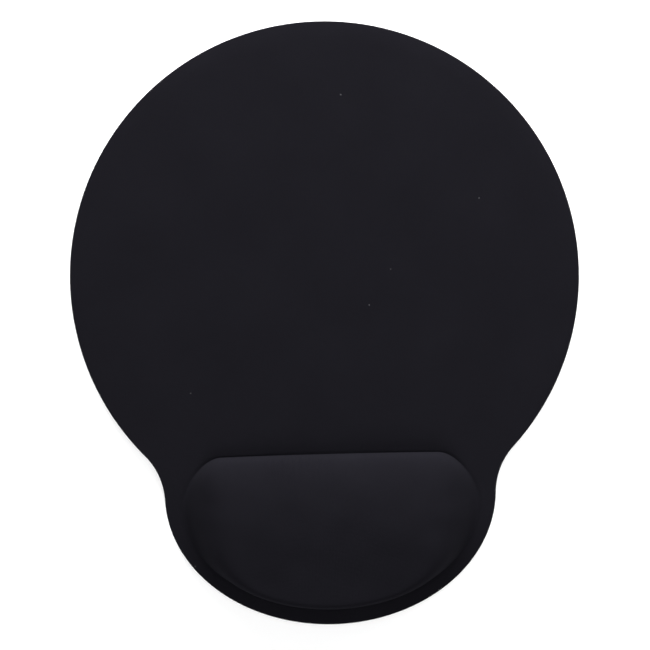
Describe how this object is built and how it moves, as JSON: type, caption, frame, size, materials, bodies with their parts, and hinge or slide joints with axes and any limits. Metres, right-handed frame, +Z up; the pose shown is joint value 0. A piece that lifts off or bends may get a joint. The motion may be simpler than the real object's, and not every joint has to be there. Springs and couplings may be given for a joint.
{
  "type": "wrist rest mouse mat",
  "caption": "Round mouse mat with a low padded gel wrist rest built into its front lobe, under one stretch cloth cover, on a ribbed anti-slip base.",
  "frame": {"origin": "on the surface that the mat lies on, at the middle of the outline's length and width", "axes": "+X to the user's right, +Y away from the user towards the round mousing area, +Z up"},
  "size_m": [0.203, 0.2404, 0.0192],
  "materials": {
    "cover_cloth": "matte",
    "core_foam": "matte",
    "base_rubber": "matte",
    "pouch_film": "satin",
    "gel": "gloss"
  },
  "bodies": {
    "root": {"antislip_base": "base_rubber", "foam_core": "core_foam", "gel_bottom_film": "pouch_film", "gel_core": "gel", "gel_top_film": "pouch_film", "cover_cloth": "cover_cloth"}
  },
  "joints": []
}
